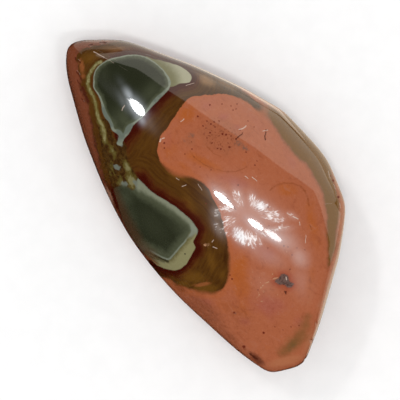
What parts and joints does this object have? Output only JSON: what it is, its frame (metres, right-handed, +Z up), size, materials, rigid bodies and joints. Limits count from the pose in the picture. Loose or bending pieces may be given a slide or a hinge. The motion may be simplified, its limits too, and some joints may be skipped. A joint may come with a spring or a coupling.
{
  "type": "polished free-form ornamental stone",
  "caption": "Polished leaf-shaped jasper free-form with a domed crown, green, olive and brick-orange bands, lying on a flat underside.",
  "frame": {"origin": "centre of the outline's length and width, on the flat underside", "axes": "+X along the stone from the blunt nose to the cut foot, +Y towards the bulging side, +Z up through the domed crown"},
  "size_m": [0.1197, 0.0628, 0.036],
  "materials": {
    "polished_jasper": "high polish, banded brick orange, olive, dark green and cream, with small pits, chips and scratches"
  },
  "bodies": {
    "root": {"jasper": "polished_jasper"}
  },
  "joints": []
}
